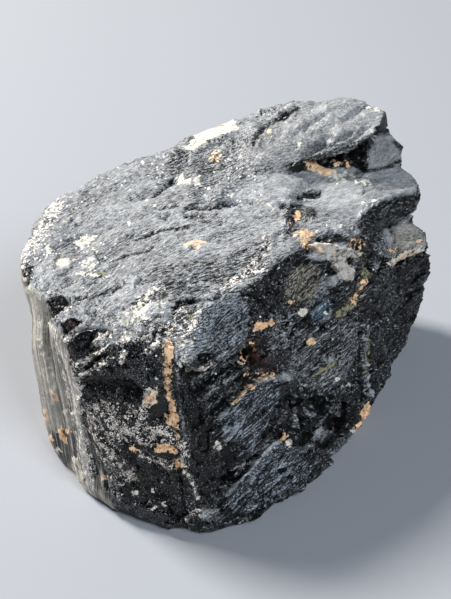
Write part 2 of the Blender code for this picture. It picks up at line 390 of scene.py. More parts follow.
TOP_STEPS = (
    ("174,307 180,301.5 195,299.5 205,296.5 216,297.5", 0.5, 7),
    ("152,318.5 156,314.5 163,315.5", 0.5, 5),
    ("249,268.5 256,265 264,262", 0.4, 5),
    ("248,269 258,257.5 265,248 266,236", 0.4, 6),
)
for row in TOP_STEPS:
    ledge(*row)
# Greyness over parts of the top. The back part is painted darker to even out the stronger light on it, and
# the ground in front of the slab lighter, as painted light where the slab's shadow falls.
TOP_TONES = (
    ("155,272 190,262 230,258 262,240 272,245 263,268 236,281 215,288 190,300 160,308 150,290", 0.17, 16),
    ("180,164 204,148 244,132 264,134 268,192 232,200 194,200", 0.185, 14),
    ("226,196 262,182 300,178 345,186 372,196 360,214 310,207 268,206", 0.28, 14),
    ("249,213 258,210 266,216 264,232 254,236", 0.24, 8),
)
for row in TOP_TONES:
    shade(*row)
# Where painted glints are sprinkled over the top, thickest along the left rim.
TOP_SPARKLE = (
    ("18,262 26,240 46,208 62,194 72,202 60,226 54,250 34,270 30,296 22,286", 1.0, 10),
    ("46,240 70,232 104,230 116,250 106,276 76,282 52,270", 0.55, 14),
    ("60,196 110,168 160,152 186,160 160,184 120,200 76,214", 0.22, 16),
    ("176,170 210,172 262,150 262,196 226,214 186,204", 0.22, 16),
    ("362,198 384,196 386,208 364,212", 0.8, 6),
)
for row in TOP_SPARKLE:
    patch("sparkle", *row)
RIM_GLINTS = (
    "53,204 57,199 46,213 41,223 38,235 34,238 30,243 27,248 36,231 29,290 31,287 33,292 25,280 22,268")
TOP_GRAINS = (
    "111,249 129,225 147,202 143,163 124,162 208,189 241,157 254,177.5 230,160 232,195 273,209 154,206")
# The rim's spots are painted glints, laid in cream.
spots("cream", RIM_GLINTS, 3.0, 0.9)
spots("cream", TOP_GRAINS, 2.6, 1.0)
# A hollow in the rim, painted near black as shade.
RIM_HOLLOW = "19,266 24,262 32,266 34,276 30,286 23,287"
shade(RIM_HOLLOW, 0.02, 4)
PALE_SLIVER = "185,147 192,138 206,129 218,121 234,117 237,128 224,138 206,147 196,152 188,151"
facet(PALE_SLIVER, keep=0.2)
TOP_BAR = "183,246 190,242 204,240.5 208,244 197,248 186,249"
TOP_CREAM = (
    ("25,288 30,286 34,290 32,295 26,293", 0.9),
    ("46,246 49,245 52,249 50,253 46,251", 0.95),
    ("76,240 83,236 90,238 99,232.5 100,235 90,243 84,249 76,248", 0.85),
    ("56,259 63,258 73,260 70,266 62,271 57,267", 0.9),
    ("80,262 90,258 97,262 95,270 84,270", 0.55),
    ("120,321 128,312 134,303 140,293 152,288 164,281 166,286 154,297 150,310 140,321 128,328", 0.52, 8),
    (PALE_SLIVER, 0.95, 4.0),
    ("179,173 184,172.5 183,180 191,180 190,184 178,186.5", 0.8),
    ("192,182 196,177.5 200.5,177 200,186.5 195,185", 0.95),
    (TOP_BAR, 0.9, 2.0),
)
TOP_OLIVE = (
    ("54,259 60,253 62,258 57,263", 0.8),
    ("128,318 134,304 142,297 152,290 164,283 162,288 151,299 142,313 134,322", 0.65, 6),
    ("179,173 184,172.5 183,180 185,183 178,186.5", 0.5),
    ("262,137 267,135 268,142 263,143", 0.5),
)
TOP_CLAY = (
    (TOP_BAR, 0.62, 2.0),
    ("207,156 214,152 222,154 217,161 209,159", 0.45),
    ("266,134 270,130 273,132 269,139", 0.55),
)
TOP_CRUST = (
    ("22,262 27,243 36,228 50,206 60,195 66,199 56,215 47,232 36,248 28,264", 0.46, 6),
    ("105,322 120,312 160,300 186,305 192,330 176,345 150,330 120,335", 0.06, 10),
)
for mark, rows in (("cream", TOP_CREAM), ("olive", TOP_OLIVE), ("clay", TOP_CLAY), ("crust", TOP_CRUST)):
    for row in rows:
        patch(mark, *row)
TOP_STREAKS = (
    ("cream", "23,279 26,280", 3.4, 0.9),
    ("clay", "70,261 76,260", 3.0, 0.5),
    ("clay", "92,249 98,250", 3.0, 0.6),
    ("clay", "63,221 68,220", 2.6, 0.5),
    ("cream", "78,274 90,273 97,275", 3.0, 0.6),
    ("olive", "90,275 97,273 102,273", 3.0, 0.8),
    ("cream", "266,204 272,209", 3.0, 0.8),
    ("crust", "221,290 236,279 251,273 266,267", 6.0, 0.3),
    ("crust", "248,268 258,257 265,247 266,236", 6.0, 0.35),
)
for row in TOP_STREAKS:
    streak(*row)


# Raised slab
# A slab at the back right stands a few millimetres over the rest of the top. Its surface is a set of
# slanting ridges, its front edge overhangs, and rusty clay fills the slot under it.
SLAB = "262,140 272,116 290,104 335,98 372,103 388,115 376,138 340,158 306,163 286,158"
SLAB_TOP = "266,142 276,118 292,106 335,99 370,104 382,112 372,134 340,154 306,158 284,154"


def roughen(outline, times, soft=8.0):
    """Multiplies the depth of the fine relief inside an outline."""
    near, share = inside(outline, soft)
    relief_share[near] *= 1.0 + (times - 1.0) * share


SLAB_RIDGES = (
    "298,157 312,146 324,138",
    "322,149 336,139 352,128",
    "300,128 314,118 326,112",
    "286,138 298,128 308,119",
    "338,120 350,111 362,106",
    "346,142 358,132 368,122",
    "306,150 318,141 330,131",
)
for lip in SLAB_RIDGES:
    ledge(lip, 0.42, 12, 4.0)
roughen(SLAB, 0.65)
shade(SLAB_TOP, 0.22, 10)
BLURRED_BACK = (
    "250,150 276,116 300,94 372,92 394,112 412,148 434,186 424,220 396,236 352,222 300,190 262,182")
patch("calm", BLURRED_BACK, 0.8, 16)
SLAB_LEFT_CLEFT = "251,147 262,129.5 272,122 280,118 290,112 300,106"
crack(SLAB_LEFT_CLEFT, 0.3, 3.0)
SLAB_BACK_NICK = "279,119 284,115 288,112"
crack(SLAB_BACK_NICK, 0.3, 5.0)
# Two painted glints on the back edge, laid in cream.
BACK_EDGE_GLINTS = "368,106.5 378,109.5"
spots("cream", BACK_EDGE_GLINTS, 5.0, 0.9)
SLAB_SPOTS = "300,142 298,144 296,158 311,99"
spots("cream", SLAB_SPOTS, 3.0, 0.6)
SLAB_EDGE = "306,160 319,160.5 327,159 340,154.5 354,150 363,146 372,137 377,130"
ledge(SLAB_EDGE, 1.5, 14, 2.2)
# The face under the slab's overhanging front edge is painted dark as its shadow.
SLAB_FRONT = (
    "306,161 335,157 353,151 370,147 376,143 384,128 389,128 396,136 404,148 403,160 390,168 366,173 "
    "351,164 335,165 319,164.5")
shade(SLAB_FRONT, 0.05)
SLAB_CORNER = "354,156 374,149 386,134 396,137 403,149 402,160 388,167 368,171 356,166"
facet(SLAB_CORNER, 0.3)
# Painted light: the face beside the slab's end is made lighter and even where the slab's shadow falls on
# it.
UNDER_SLAB = "372,146 384,131 394,136 402,148 402,160 386,166 368,168 362,160"
shade(UNDER_SLAB, 0.31, 5)
patch("calm", UNDER_SLAB, 1.0, 5)
CORNER_NOTCH = "374,124 382,112 388,114 389,126 380,130"
facet(CORNER_NOTCH, 0.0, (0.5, -0.2, -0.1))
CORNER_SHADOW = "374,130 380,118 386,113 389,126 380,131"
shade(CORNER_SHADOW, 0.03)
CREAM_BAR = "305.5,163 319,164 333,168.5 339,175 344,180.5 335,179.5 321,175.5 312,170.5"
patch("cream", CREAM_BAR, 1.0, 2.0)
CLAY_BAR = "305.5,163 319,164 332,169 333,176 321,175.5 312,170.5"
patch("clay", CLAY_BAR, 0.8, 3.0)
CREAM_BAR_RIDGE = "308,164 318,168 330,173 338,178"
crack(CREAM_BAR_RIDGE, -0.3, 4.5)
RUST_UNDER_SLAB = "336,163 350,163 350,167.5 337,168"
patch("rust", RUST_UNDER_SLAB, 0.4)
CLAY_UNDER_SLAB = "334,163.5 349,163 349,166 336,167"
patch("clay", CLAY_UNDER_SLAB, 0.5)
GRAINS_UNDER_SLAB = "341,176 345,174 356,183 368,180.5 364,182 352,176"
spots("cream", GRAINS_UNDER_SLAB, 4.5, 0.85)


# Terrace
# Under the slab a lower terrace reaches out to the right. Its front edge is sharp, and the face below
# that edge is painted dark as shade.
SLOT_CRACK = "297,196 308,194.5 322,193"
crack(SLOT_CRACK, 0.55, 3.6)
TERRACE_SLOT = "297,198 308,193 322,191 320,196 306,199"
shade(TERRACE_SLOT, 0.03, 3)
STEP_CRACK = "278,207.5 291,206 304,205"
crack(STEP_CRACK, 0.4, 2.4)
TERRACE_GRAINS = "363,203 367,207 372,206 377,202 381,203 366,211 374,201"
spots("cream", TERRACE_GRAINS, 3.2, 0.8)
GRAINS_OVER_SLOT = "341,226.5 352,228 359.5,232.5 326,226 317,231"
spots("cream", GRAINS_OVER_SLOT, 2.4, 0.8)
TERRACE_EDGE = "358,220 365,212 375.5,204 393,195 406,190.5 418,187"
ledge(TERRACE_EDGE, 0.9, 16, 2.0)
# The face under the terrace's edge is painted dark as shade.
TERRACE_FRONT = "358,221 375,205 393,196 419,188 416,204 408,217 385,228 370,241 361,235"
shade(TERRACE_FRONT, 0.09)
TERRACE_KNOB = "302,213 305,208 312,207 316,212 314,219 306,220"
facet(TERRACE_KNOB, -0.35)
shade(TERRACE_KNOB, 0.10)
TERRACE_STEP = "284,207 302,205 300,214 294,224 300,228 292,236 284,240 287,226"
shade(TERRACE_STEP, 0.07)
STEP_EDGE = "290,208 288,219 292,228 287,238"
ledge(STEP_EDGE, -0.6, 9)
STEP_CLAY = "293,215 297,212 302,212 301,218.5 296,220"
patch("clay", STEP_CLAY, 0.95, 2.0)
STEP_CLAY_FLECK = "290,224 294,224 293,229 290,229"
patch("clay", STEP_CLAY_FLECK, 0.6)
CLAY_POCKET = "294,234 301,229 307,228 314,234 311,240 306,248 301,247 301,240"
patch("clay", CLAY_POCKET, 0.72, 2.0)
POCKET_CREAM = "304,236 310,232 312,238 306,246 303,244"
patch("cream", POCKET_CREAM, 0.6)


# Pale film
# A thin smooth film, beige and see-through at its edges, hangs down the face under a dark slot.
FILM = (
    "309,245 313,242.5 323,243.5 333,245 347,248 361,254 356,257 349,256 347,262 350,268 354,272 352,279 "
    "345,281 339,276 334,267 329,259 322,254.5 314,252")
DARK_SLOT_CRACK = "316,240 324,236.5 334,234 345,235.5"
crack(DARK_SLOT_CRACK, 0.9, 4.0)
DARK_SLOT = "317,242 322,236 334,232 346,234 346,241 332,243"
shade(DARK_SLOT, 0.025, 3)
facet(FILM, -0.35, keep=0.1)
shade(FILM, 0.08, 2)
patch("film", FILM, 0.56, 1.6)
FILM_FOOT = "334,262 341,262 350,268 354,272 352,279 345,281 339,276 334,267"
patch("film", FILM_FOOT, 0.72, 2.5)
FILM_TOP = "309,245 313,242.5 327,244 330,250 328,257 322,254.5 314,252"
patch("film", FILM_TOP, 0.8, 2.0)
FILM_EDGE = FILM + " 309,245"
streak("film", FILM_EDGE, 2.2, 0.8)
streak("cream", FILM_EDGE, 1.8, 0.44)
FILM_CRACK = "349.5,258 348.5,264 352,268.5"
crack(FILM_CRACK, 0.4, 2.6)
FILM_CLAY = "309,246 316,249 321,252"
streak("clay", FILM_CLAY, 4.0, 0.5)
CLAY_BESIDE_FILM = "347,238 356,238 362,243 364,250 357,251 350,244"
patch("clay", CLAY_BESIDE_FILM, 0.45)
OLIVE_BESIDE_FILM = "350,240 360,240 364,250 356,252"
patch("olive", OLIVE_BESIDE_FILM, 0.6)
KHAKI_BAND = "362,256 366,264 364,276 360,290 356,300"
streak("khaki", KHAKI_BAND, 14.0, 1.0)
BESIDE_FILM = "356,256 368,256 370,276 362,302 352,300 356,276"
shade(BESIDE_FILM, 0.11, 6)
OLIVE_UNDER_FILM = "367,270 362,284 356,296 346,308 337,316"
streak("olive", OLIVE_UNDER_FILM, 4.2, 0.8)
CLAY_UNDER_FILM = "363,281 360,288 356,296 353,304"
streak("clay", CLAY_UNDER_FILM, 4.0, 0.6)
CLAY_FLECK_UNDER_FILM = "352,299 354,303"
streak("clay", CLAY_FLECK_UNDER_FILM, 5.0, 0.75)


# Right lobe
# A rounded lobe at the right, a little lower than the terrace, with a yellow crust along its rim.
LOBE_CRACK = "368,236 374,246 372,258 369,274"
crack(LOBE_CRACK, 0.4, 4.0)
LOBE_EDGE = "391.5,266 400,261 410,256 420,251 428,246"
ledge(LOBE_EDGE, 0.5, 9)
LOBE_OLIVE = "388,266 396,256 408,250 415,251 406,258 396,264"
patch("olive", LOBE_OLIVE, 0.9)
LOBE_CLAY = "392,262 399,256 404,254 402,259 396,263"
patch("clay", LOBE_CLAY, 0.5)
LOBE_CREAM = "390.5,263.5 400,258 410,253 420,248"
streak("cream", LOBE_CREAM, 6.5, 0.8)
YELLOW_CRUST = "390,262 397,257 405,254 411,250 414,254 406,259 398,264 391,266"
patch("cream", YELLOW_CRUST, 0.85, 2.0)
patch("clay", YELLOW_CRUST, 0.36, 2.0)
LOBE_KHAKI = "392,230 408,224 422,236 426,246 408,250 392,258"
patch("khaki", LOBE_KHAKI, 0.7, 6)
LOBE_CLAY_SPOTS = "392,251 419,240.5"
spots("clay", LOBE_CLAY_SPOTS, 4.5, 0.6)
LOBE_TOP = "395,226 409,223 420,231 427,245 410,250 392,258 380,256 376,246 384,230"
shade(LOBE_TOP, 0.26)
# The wall under the lobe's rim is painted near black as shade.
LOBE_WALL = "391,268 410,258 429,249 431,275 421,300 417,320 404,330 390,300"
shade(LOBE_WALL, 0.02)


# Grown left face
# The prism's own grown face, with fine upright ribs that run the whole height. A thin brownish skin and
# a painted sheen make it lighter, and clay and a cream strip lie near the foot.
# Lighter for the brownish skin, with a painted sheen.
BROWN_SKIN_AND_SHEEN = "28,300 48,318 60,350 76,380 84,440 92,495 84,496 50,455 30,340"
shade(BROWN_SKIN_AND_SHEEN, 0.28, 10)
DARK_STAIN = "48,430 72,432 78,458 64,466 50,452"
shade(DARK_STAIN, 0.07, 10)
PALE_RIBS = (
    "50,322 62,352 74,380 80,412 85,450 90,486",
    "41,320 48,360 56,405",
)
for line in PALE_RIBS:
    crack(line, -0.2, 3.5)
CRUSTED_EDGE = "50,325 62,340 78,375 84,410 92,470 92,494 84,490 74,430 64,380"
patch("crust", CRUSTED_EDGE, 0.42, 8)
UPPER_RIB_CLAY = "52,393 57,393 60,400 55,401"
patch("clay", UPPER_RIB_CLAY, 0.6)
LOWER_RIB_CLAY = "57,430 61,428 66,438 67,443 62,441"
patch("clay", LOWER_RIB_CLAY, 0.9, 2.0)
RIB_CLAY_SPOTS = "51,438 47,420 45,412 69,432"
spots("clay", RIB_CLAY_SPOTS, 5.5, 0.8)
RIB_CREAM_SPOTS = "65,412 52,452 58,451 43,345 40,338"
spots("cream", RIB_CREAM_SPOTS, 5.0, 0.7)
CREAM_STRIP = "72,457 78,458 82,470 86,480 87,495 81,493 76,472"
patch("cream", CREAM_STRIP, 1.0, 2.0)
STRIP_OLIVE = "72,457 77,458 78,468 74,466"
patch("olive", STRIP_OLIVE, 0.5)


# Left front
# Below the rim the break steps down in splintered ledges that catch the light, over a smooth glossy band
# painted black as the shade under them. The lower part is crusted with whitish grains, and its foot is
# glossy.
def swell(outline, height, soft=14.0):
    """A low bulge inside an outline, height millimetres high."""
    near, share = inside(outline, soft)
    rise[near] += height * share


def bare_and_shaded(outline):
    """Clears crusts and clay off the rock inside an outline, and makes it black as painted shade."""
    near, share = inside(outline, 3.0)
    tone[near] *= 1.0 - share
    for values in marks.values():
        values[near] *= 1.0 - share


UPPER_BULGE = "84,362 104,348 128,340 162,338 166,372 150,390 120,374 98,366"
swell(UPPER_BULGE, 0.45, 12)
LOWER_BULGE = "84,402 110,396 140,402 160,424 176,436 168,462 120,466 92,452"
swell(LOWER_BULGE, 0.35, 16)
DARK_SLOPE = "96,352 125,340 160,338 166,350 164,386 140,384 104,368 86,376 80,366"
shade(DARK_SLOPE, 0.06, 6)
SHATTERED_WALL = "44,296 76,294 112,322 160,326 164,340 150,356 110,372 82,384 72,350 58,330"
patch("shattered", SHATTERED_WALL, 0.7, 10)
GRITTY_SLOPE = "96,350 125,340 160,336 166,350 162,388 140,384 104,368"
patch("gloss", GRITTY_SLOPE, 0.4, 8)
SPLINTERED_LEDGE = "74,328 92,327.5 113,329"
ledge(SPLINTERED_LEDGE, 0.8, 6)

# Splinters that stand out of the wall and turn their frosted faces up to the light.
SHARDS = (
    "93,343 99,335 107,331.5 116,330 119,334.5 113,339 107,344 99,348 95,349",
    "74,339 83,332.5 92,330 96,330.5 90,333.5 82,336.5",
    "118,345 123,337 132,333 147,331 148,336 138,343 126,348",
    "76.5,364 80.5,359 87,356 94,353 93,359 89,364 80.5,367.5",
    "78.5,373.5 85,371.5 92,368.5 99,363 103,363 99,368.5 92,373.5 84.5,377.5",
    "94,355 100,351 110,347 112,349 102,354",
    "119.5,360 121.5,355 127,351.5 126,357 122.5,361",
    "64,339 72,333 80,333 74,340 68,344",
    "52,323 58,315 68,306 73,305 66,314 58,324",
    "99,366 106,360 112,358 108,366",
    "146,350 152,344 160,342 156,350 149,355",
)
for outline in SHARDS:
    facet(outline, -0.25, (-0.1, 0.2, 0.4), 1.0, 1.8)
    shade(outline, 0.21, 2.0)
    patch("shattered", outline, 1.0, 4.0)
    patch("crust", outline, 0.42, 2.5)
# Notches and gaps under the ledges, sunk and painted black as shade.
NOTCHES = (
    "46,302 54,297 61,296 69,302 62,309 54,318 50,319 50,311",
    "61,325 67,321 74.5,319.5 80.5,322 79.5,325 72.5,328.5 65,334",
    "75,345 76,339 82.5,335 92,332.5 97,330.5 98,334 93,340.5 91,345 86,349 81.5,352 76.5,350",
    "86,369 93,363 102,357 108,353 102,360 94,366",
)
for outline in NOTCHES:
    facet(outline, 0.8, (0.2, -0.4, -0.3), 0.8, 2.5)
    bare_and_shaded(outline)
    shade(outline, 0.022, 3)
    patch("shattered", outline, 0.5)
patch("rust", NOTCHES[1], 0.12)
WALL_UNDER_RIM = "176,300 200,297 206,310 200,332 184,336 174,322"
shade(WALL_UNDER_RIM, 0.13, 8)
# A hollow painted dark as shade.
DARK_HOLLOW = "151,333 152,326 160,323.5 172,325 176,329 170,334 160,336"
shade(DARK_HOLLOW, 0.04, 3)
DARK_FLECK = "137,326 141,321 150,320 150,324 143,327"
shade(DARK_FLECK, 0.05, 3)
CRACK_UNDER_RIM = "196,300 187,301.5 179,303 175,309 173,316"
crack(CRACK_UNDER_RIM, 0.35, 2.6)
BULGE_CRUST = "119,346 123,337 132,334 146,332 142,340 128,346"
patch("crust", BULGE_CRUST, 0.7, 3)
LEDGE_CREAM = "79,361.5 84,360 89,358"
streak("cream", LEDGE_CREAM, 3.0, 0.8)
GLOSSY_LEDGE = "76,362 84,357 96,357 92,365 80,367"
patch("gloss", GLOSSY_LEDGE, 0.8)
# A few painted glints on the slope.
patch("sparkle", GRITTY_SLOPE, 0.1, 8)
# A glossy band under the overhang, painted black as its shade.
SHADED_BLACK_BAND = "82,379 96,376 118,376 136,384 143,392 137,400 122,398 104,394 92,391 83,394"
facet(SHADED_BLACK_BAND, 0.7, (0.0, 0.0, -0.3), 0.2, 5.0)
bare_and_shaded(SHADED_BLACK_BAND)
patch("gloss", SHADED_BLACK_BAND, 0.7)
BULGE_RIDGE = "93,380 104,379 118,378.5"
crack(BULGE_RIDGE, -0.12, 1.8)
BLACK_LOWER_PART = "84,396 110,394 146,400 178,424 182,452 150,480 112,484 96,460"
shade(BLACK_LOWER_PART, 0.01, 6)
CRUSTED = (
    ("84,404 98,399 120,402 140,407 150,414 146,424 160,424 176,428 182,444 172,448 158,440 148,446 "
     "132,438 112,448 98,444 88,430"),
    "108,430 120,424 138,420 146,428 130,432 116,438",
    "98,446 120,444 126,462 112,470 100,462",
    "116,470 132,468 136,480 122,484 114,478",
    "142,452 153,454 165,460 174,466 168,470 154,462 143,458",
    "188,509 200,508 198,516 190,516",
)
for outline, strength in zip(CRUSTED, (0.30, 0.52, 0.22, 0.46, 0.48, 0.34)):
    patch("crust", outline, strength, 6)
CREAM_LUMP = "140,404 142,394 148,389 156,387 160,394 157,404 150,408 143,408"
patch("cream", CREAM_LUMP, 0.75, 3)
LUMP_CLAY = "142,405 146,394 156,390 159,400 150,408"
patch("clay", LUMP_CLAY, 0.5)
OVAL = "149,408 152,401 160,399 167,403 168,412 164,419 154,421 149,416"
facet(OVAL, 0.3, (0.0, 0.0, -0.1), 0.15, 2.5)
shade(OVAL, 0.0)
patch("gloss", OVAL, 0.8)
CRUST_BY_CREVICE = "174,426 180,440 183,452 184,463"
streak("crust", CRUST_BY_CREVICE, 8.0, 0.6)
CREAM_RIDGE = "184,471 191,478 195,487 197,497"
streak("cream", CREAM_RIDGE, 3.4, 0.75)
crack(CREAM_RIDGE, -0.3, 2.6)
FOOT_CRACK = "178,471 180,486 181.5,500 185,518 188.5,532"
crack(FOOT_CRACK, 0.4, 2.2)
FOOT_CRUST = "186,520 189,530"
streak("crust", FOOT_CRUST, 3.0, 0.6)
GLOSSY_FOOT = (
    "104,468 114,484 136,484 150,482 177,474 180,500 186,530 170,528 148,522 134,510 112,504 100,488")
FOOT_FACET = "136,486 150,483 174,484 178,500 160,503 140,500"
facet(FOOT_FACET, 0.2, (0.0, 0.0, 0.1), 0.2, 4.0)
shade(GLOSSY_FOOT, 0.015, 8)
patch("gloss", GLOSSY_FOOT, 0.8, 8)
FOOT_RIBS = (
    "104,455 109,470 112,488 114,500",
    "110,452 116,468 118,486 121,502",
    "101,470 104,484 108,494",
)
for line in FOOT_RIBS:
    crack(line, -0.22, 2.2)
FOOT_CREAM_SPOTS = "133,493 137,492.5 153,491 162,483 164,504 157,507 155,506"
spots("cream", FOOT_CREAM_SPOTS, 3.2, 0.85)
FRONT_CLAY_SPOTS = "104,478 133,446 137,450"
spots("clay", FRONT_CLAY_SPOTS, 3.5, 0.6)


# Crevice
# A deep upright crevice parts the left front from the middle. Orange clay fills its left edge.
CLAY_STREAK = "167.5,345 168,354 168,368 168,385 171,397 172.5,407"
streak("clay", CLAY_STREAK, 6.0, 0.85)
crack(CLAY_STREAK, -0.15, 5.0)
CLAY_UPPER = (
    "163.5,343 166,338 170.5,339 171.5,350 171.5,366 171,384 173.5,398 170,398 166,384 164.5,366 164,350")
patch("clay", CLAY_UPPER, 0.84, 3.0)
CLAY_MIDDLE = "164,416 168,412 172,405 175,405 178,414 177,426 171,426 166,422"
patch("clay", CLAY_MIDDLE, 1.0, 2.0)
CLAY_MIDDLE_EDGE = "176,424 178,436"
streak("clay", CLAY_MIDDLE_EDGE, 4.0, 0.5)
CLAY_LOWER = "155,446 158,440.5 166,438.5 173,441 179,449 177,453 169,447.5 160,448"
patch("clay", CLAY_LOWER, 1.0, 2.0)
CLAY_LOWER_RIM = "158,440 165,438"
streak("cream", CLAY_LOWER_RIM, 3.0, 0.6)
CLAY_LOWEST = "172,461 178,460 183,467 177,470"
patch("clay", CLAY_LOWEST, 1.0, 2.0)
CLAY_LOWEST_RIM = "182,460 184,464"
streak("cream", CLAY_LOWEST_RIM, 3.6, 0.7)
CREVICE_EDGE = "174,340 175,368 178,390 180,410 184,435 188,458"
ledge(CREVICE_EDGE, -0.5, 10, 2.5)
CREVICE_TOP = "176,330 188,318 200,312 200,330 190,345 186,366 178,372 174,360"
patch("crust", CREVICE_TOP, 0.10, 8)
CREVICE_TOP_OLIVE = "185,315 192,313 194,320 187,321"
patch("olive", CREVICE_TOP_OLIVE, 0.7)
CREVICE_OLIVE = "180,336 188,334 188,350 180,366 177,360"
patch("olive", CREVICE_OLIVE, 0.35, 5)
CREVICE_CREAM = "186,337 183,347 181,358 178,369"
streak("cream", CREVICE_CREAM, 4.0, 0.5)
LEDGE_LIP = (
    "178,372 185,366.5 191,368 197,370 201,372.5 206,372 213,366.5 220,361.5 230.5,357 242.5,350 250,347")
ledge(LEDGE_LIP, 2.2, 32, 2.4)
# The recess under the ledge lip is painted near black as the shade of the overhang.
RECESS = (
    "181,373 186,369 199,374 206,375 214,369 224,362 236,358 247,352 250,362 250,384 240,394 228,404 "
    "218,416 206,426 197,436 188,420 183,396")
shade(RECESS, 0.018, 5)
RECESS_WALL = "181,374 187,370 196,375 200,392 202,412 204,432 196,434 188,416 183,394"
facet(RECESS_WALL, 0.3, (0.15, 0.0, -0.15), 0.15, 4.0)
GLOSSY_WALL = "181,374 187,370 196,375 200,392 204,432 196,434 188,416"
patch("gloss", GLOSSY_WALL, 0.6)
# A small hole, painted near black as shade.
SMALL_HOLE = "198,356 204,353 214,356 214,363 206,364 199,361"
facet(SMALL_HOLE, 0.8, (0.0, 0.0, -0.2), 0.3, 2.5)
shade(SMALL_HOLE, 0.015)
RECESS_CRUST = "200,371 206,369 212,366"
streak("crust", RECESS_CRUST, 5.0, 0.6)
RECESS_RIDGES = (
    "200,388 210,380 222,372 238,362",
    "202,400 214,391 228,382 246,371",
    "204,412 216,404 230,394 246,384",
)
for line in RECESS_RIDGES:
    crack(line, -0.3, 3.0)


# Middle front
# The middle of the front split along the slanting grain. Long striped facets lie over each other like
# shingles, bluish where the light grazes them.
GRAINY = (
    "190,330 198,312 212,300 228,294 246,292 252,305 250,318 246,332 244,348 230,356 214,364 212,354 "
    "200,350 190,352")
facet(GRAINY, 0.0, (0.05, 0.0, 0.18), 0.55, 6.0)
shade(GRAINY, 0.165, 8)
# A painted bluish reflection of the sky on this facet.
patch("blue", GRAINY, 0.24, 14)
DARK_UNDER_TOP = "238,292 262,276 282,262 292,270 286,300 272,316 254,318 248,300"
shade(DARK_UNDER_TOP, 0.03, 8)
CRACK_UNDER_TOP = "212,298 226,292 242,290 256,296 268,306"
crack(CRACK_UNDER_TOP, 0.4, 3.0)
SHINGLE_EDGE = "273,373 266,377 258,380.5 251,388 242.5,394.5 234,402 228.5,407.5 220,419"
ledge(SHINGLE_EDGE, 0.9, 16, 2.2)
STRIPED_UPPER = (
    "222,420 229,410 242,397 252,390 262,383 275,381 281,394 276,410 266,428 258,440 247,456 238,446 "
    "228,438 221,430")
facet(STRIPED_UPPER, -0.1, (-0.05, 0.0, 0.22), 0.5, 3.0)
shade(STRIPED_UPPER, 0.115, 4)
# A painted bluish reflection of the sky on this facet.
patch("blue", STRIPED_UPPER, 0.35, 10)
EDGE_SPLINTERS = (
    "219,421 224,416 229,411",
    "222,434 226,430 231,425",
    "231,430 238,424 246,419",
    "222,441 227,436 236,430",
)
for line in EDGE_SPLINTERS:
    crack(line, -0.3, 2.2)
CREAM_LEFT_OF_STRIPES = "214,447 216,441 220,441 221,448 217,449"
patch("cream", CREAM_LEFT_OF_STRIPES, 0.9, 2.0)
DARK_FLATS = (
    "199,430 204,427 209,434 209,447 204,455 199,450",
    "221,447 226,443 232,446 234,456 240,462 240,474 232,478 226,470 222,458",
)
for outline in DARK_FLATS:
    facet(outline, 0.35, (0.0, 0.0, -0.1), 0.15, 3.0)
    shade(outline, 0.0)
    patch("gloss", outline, 0.4)
UPPER_EDGE = "287,434 275,441 263,451 256,460 247,472 238,482 231,490 224.5,498"
crack(drawn(UPPER_EDGE)[2:] - 4, 0.7, 7.0)
CRACK_BY_SCOOP = "284,400 276,414 266,430 256,446 246,461"
crack(CRACK_BY_SCOOP, 0.45, 4.0)
ledge(UPPER_EDGE, 0.75, 14, 1.8)
crack(drawn(UPPER_EDGE) + 1, -0.22, 2.2)
STRIPED_LOWER = (
    "227,499 240,484 249,474 262,457 276,443 290,438 302,452 308,470 300,488 280,499 258,508 240,512 "
    "229,506")
facet(STRIPED_LOWER, -0.1, (-0.1, 0.0, 0.12), 0.45, 3.0)
shade(STRIPED_LOWER, 0.10, 4)
# A painted bluish reflection of the sky on this facet.
patch("blue", STRIPED_LOWER, 0.35, 10)
STRIPES = (
    "233,505 238,499 244,494.5",
    "241,504 251,492 262,481 272,470.5",
    "267,496 278,491 290,485",
    "272,472 280,467 289,463",
    "250,486 258,476 268,464 276,456",
    "255,500 268,487 282,476 296,468",
)
for line in STRIPES:
    crack(line, -0.26, 2.2)
    crack(drawn(line) + 2.2, 0.24, 2.2)
WEDGE_CREAM = "287,442 293,440 295,447 289,449"
patch("cream", WEDGE_CREAM, 0.6)
SHINGLE_CLAY = "273,374.5 266,377 258,380"
streak("clay", SHINGLE_CLAY, 4.0, 0.7)
SHINGLE_CLAY_LUMP = "250,386 254,384 256,387 252,391 249,390"
patch("clay", SHINGLE_CLAY_LUMP, 1.0, 2.0)
SHINGLE_CLAY_LINE = "250,389.5 243,395 236,401 233,404"
streak("clay", SHINGLE_CLAY_LINE, 2.6, 0.7)
CLAY_SEAM = "253,324 257,321 262,323 266,320 271,319 271.5,325 262,328 257,331 254,331"
patch("clay", CLAY_SEAM, 1.0, 1.8)
CLEFT_GROUND = "272,310 300,306 298,336 288,354 268,352"
shade(CLEFT_GROUND, 0.13, 8)
REDDISH_CRACK = "251,331 252.5,343 255,350 251,360 258,367 273,371"
crack(REDDISH_CRACK, 0.55, 4.5)
RUSTY_GROUND = "249,332 256,334 262,348 272,360 277,372 266,376 252,372 247,362 251,348"
patch("rust", RUSTY_GROUND, 0.2, 8)
DARK_GROUND = "249,332 256,334 264,346 276,356 280,372 266,378 252,374 247,362"
shade(DARK_GROUND, 0.06, 6)
RUSTY_CLAY_SPOTS = "254.5,345 254.5,351 249.5,359 248,363 252,374 260,373"
spots("clay", RUSTY_CLAY_SPOTS, 4.0, 0.65)
UPRIGHT_CLEFTS = (
    "283,313 279,324 275,338 273,350",
    "290,312 286,324 281,338 278,350",
    "297,310 292,324 287,338 283,350",
)
for line in UPRIGHT_CLEFTS:
    crack(line, -0.38, 2.6)
    crack(drawn(line) + (3.4, 0), 0.42, 2.6)


